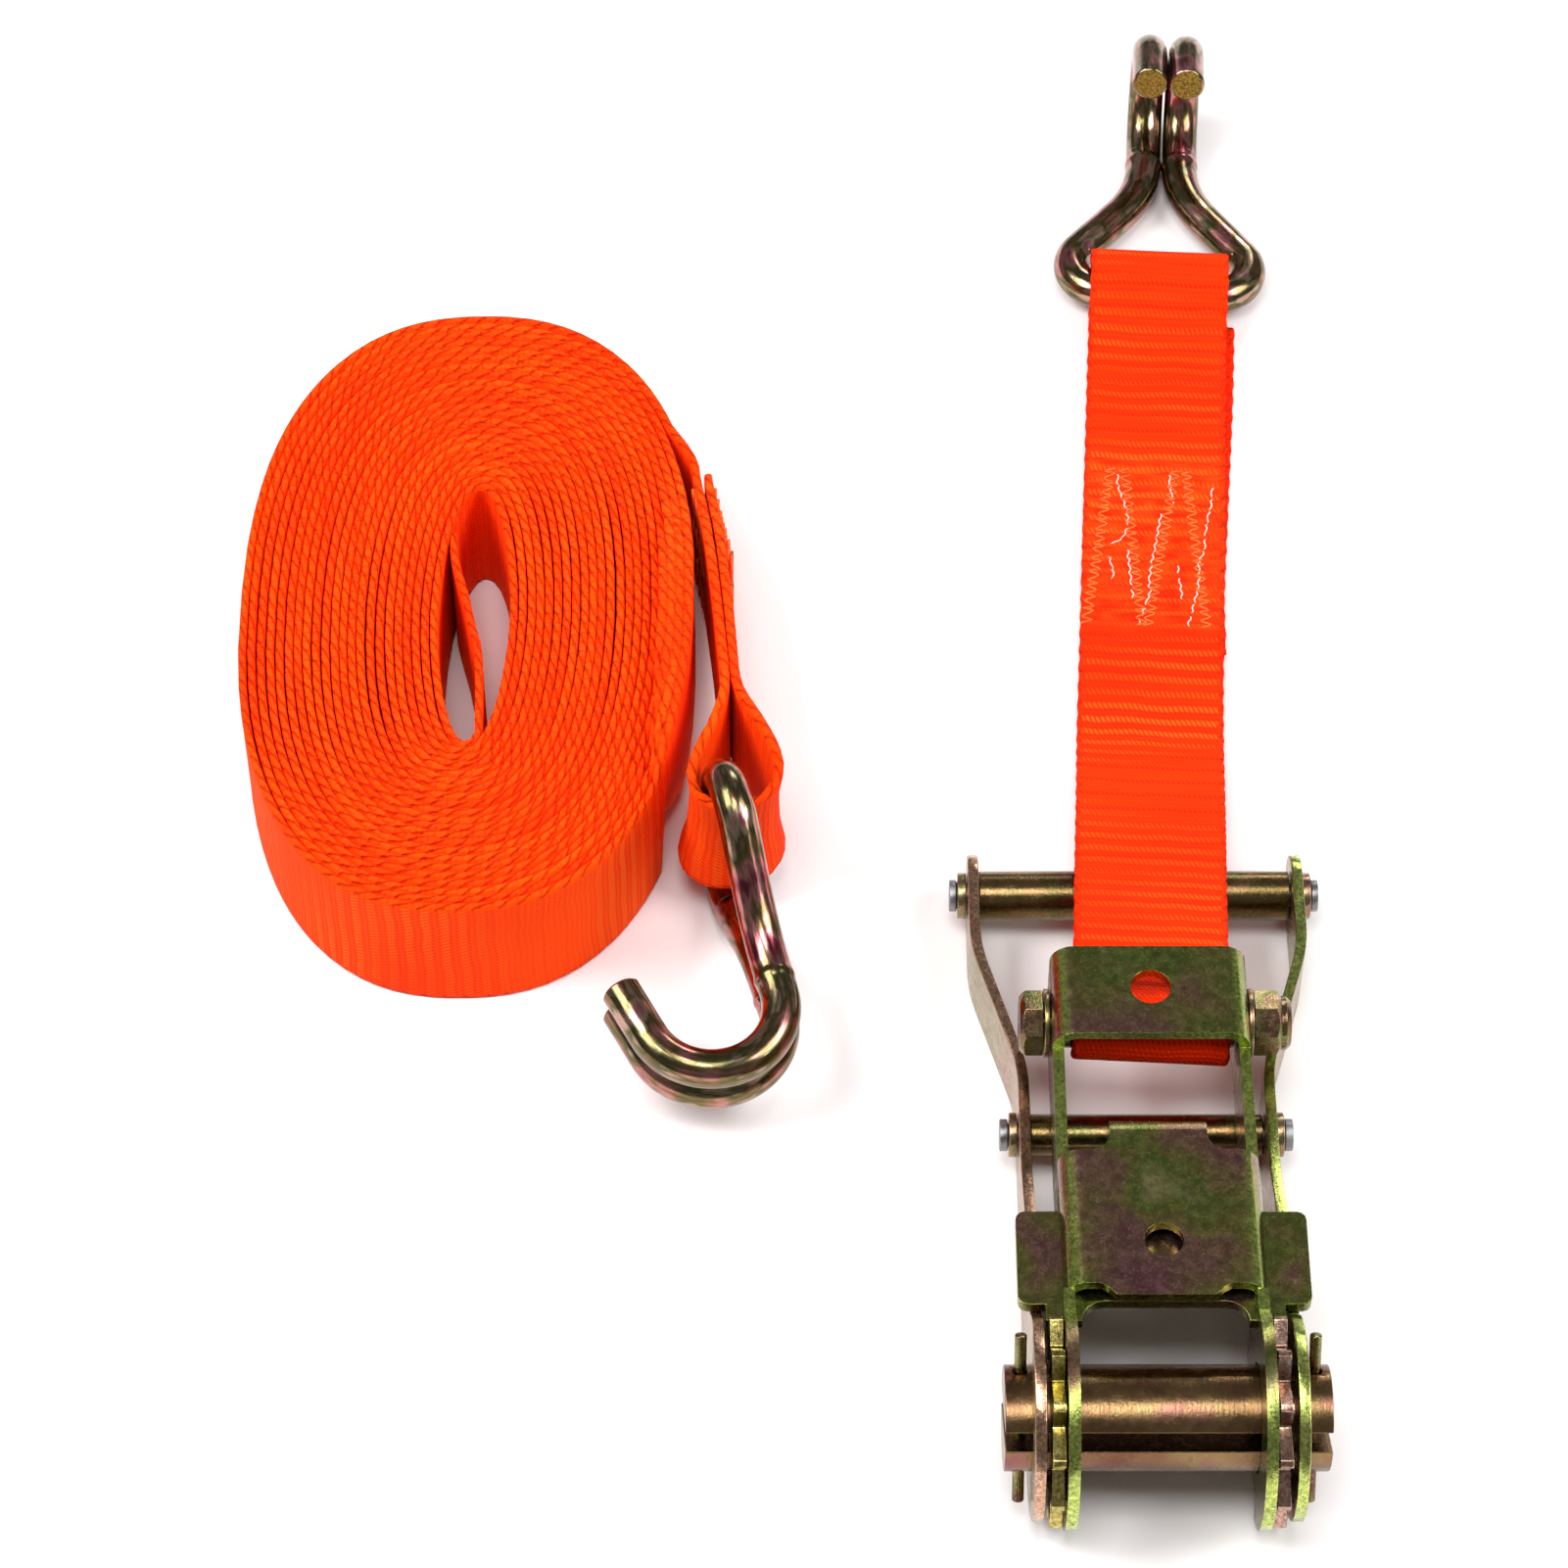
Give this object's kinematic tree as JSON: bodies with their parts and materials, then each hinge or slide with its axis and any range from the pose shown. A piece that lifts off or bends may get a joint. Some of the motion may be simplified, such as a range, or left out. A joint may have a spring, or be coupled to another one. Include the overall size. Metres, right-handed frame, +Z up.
{
  "type": "ratchet tie-down",
  "caption": "Ratchet buckle folded shut, with a short webbing strap and double-J hook, beside a long strap wound in an oval roll with its own double-J hook.",
  "frame": {"origin": "middle of the bounding box on the ground that the set lies on", "axes": "+Y from the winding drum along the buckle to the short strap's hook, +Z up, +X to the buckle's side with the lock nut"},
  "size_m": [0.2516, 0.437, 0.0542],
  "materials": {
    "zinc_plate": "yellow-chromate zinc, olive green with violet patches",
    "zinc_copper": "yellow-chromate zinc, coppery",
    "zinc_dark": "yellow-chromate zinc, dark bronze",
    "hook_wire": "glossy yellow-chromate zinc",
    "plain_steel": "dull grey",
    "webbing": "woven polyester, bright orange"
  },
  "bodies": {
    "frame_body": {"frame": "zinc_plate", "strap_bolt": "zinc_dark", "strap_bolt_washer_left": "zinc_dark", "strap_bolt_washer_right": "zinc_dark", "strap_bolt_nut": "zinc_dark", "strap_bolt_sleeve": "zinc_dark", "locking_pawl_spring": "plain_steel"},
    "handle_body": {"handle_plate_left": "zinc_plate", "handle_plate_right": "zinc_plate", "grip_tube": "zinc_dark", "grip_rivet": "plain_steel", "grip_washer_left": "zinc_copper", "grip_washer_right": "zinc_copper", "mid_spacer_tube": "zinc_dark", "mid_rivet": "plain_steel", "mid_washer_left": "zinc_copper", "mid_washer_right": "zinc_copper", "drive_pawl_spring": "plain_steel"},
    "drum_body": {"drum_half_upper": "zinc_copper", "drum_half_lower": "zinc_copper", "ratchet_wheel_left": "zinc_plate", "ratchet_wheel_right": "zinc_plate", "cotter_pin_left": "zinc_copper", "cotter_pin_right": "zinc_copper"},
    "locking_pawl_body": {"locking_pawl": "zinc_plate"},
    "drive_pawl_body": {"drive_pawl": "zinc_copper"},
    "short_strap_body": {"short_strap": "webbing"},
    "short_hook_body": {"short_strap_hook": "hook_wire"},
    "long_strap_body": {"long_strap_roll": "webbing", "long_strap_tail": "webbing"},
    "long_hook_body": {"long_strap_hook": "hook_wire"}
  },
  "joints": [
    {"name": "handle_fold", "type": "hinge", "parent": "frame_body", "child": "handle_body", "pos_m": [0.08305, -0.19467, 0.02354], "axis": [-1, 0, 0], "range_deg": [0, 180]},
    {"name": "drum_turn", "type": "hinge", "parent": "frame_body", "child": "drum_body", "pos_m": [0.08305, -0.19467, 0.02354], "axis": [-1, 0, 0], "continuous": true},
    {"name": "locking_pawl_slide", "type": "slide", "parent": "frame_body", "child": "locking_pawl_body", "axis": [0, 1, 0], "range_m": [0, 0.006], "stiffness_N_per_m": 400, "springref_m": -0.01, "deforming": ["locking_pawl_spring"]},
    {"name": "drive_pawl_slide", "type": "slide", "parent": "handle_body", "child": "drive_pawl_body", "axis": [0, 0.9511, -0.309], "range_m": [-0.0026, 0.0015], "stiffness_N_per_m": 400, "deforming": ["drive_pawl_spring"]},
    {"name": "short_strap_swing", "type": "hinge", "parent": "frame_body", "child": "short_strap_body", "pos_m": [0.08305, -0.09707, 0.03014], "axis": [1, 0, 0], "range_deg": [0, 25]},
    {"name": "short_hook_swing", "type": "hinge", "parent": "short_strap_body", "child": "short_hook_body", "pos_m": [0.09802, 0.147, 0.00684], "axis": [0.9983, -0.0576, 0], "range_deg": [0, 100]},
    {"name": "long_strap_lift", "type": "slide", "parent": "frame_body", "child": "long_strap_body", "axis": [0, 0, 1], "range_m": [0, 0.06]},
    {"name": "long_hook_swing", "type": "hinge", "parent": "long_strap_body", "child": "long_hook_body", "pos_m": [-0.01295, -0.03707, 0.0282], "axis": [0.0332, -0.1173, 0.9925], "range_deg": [-15, 20]}
  ]
}
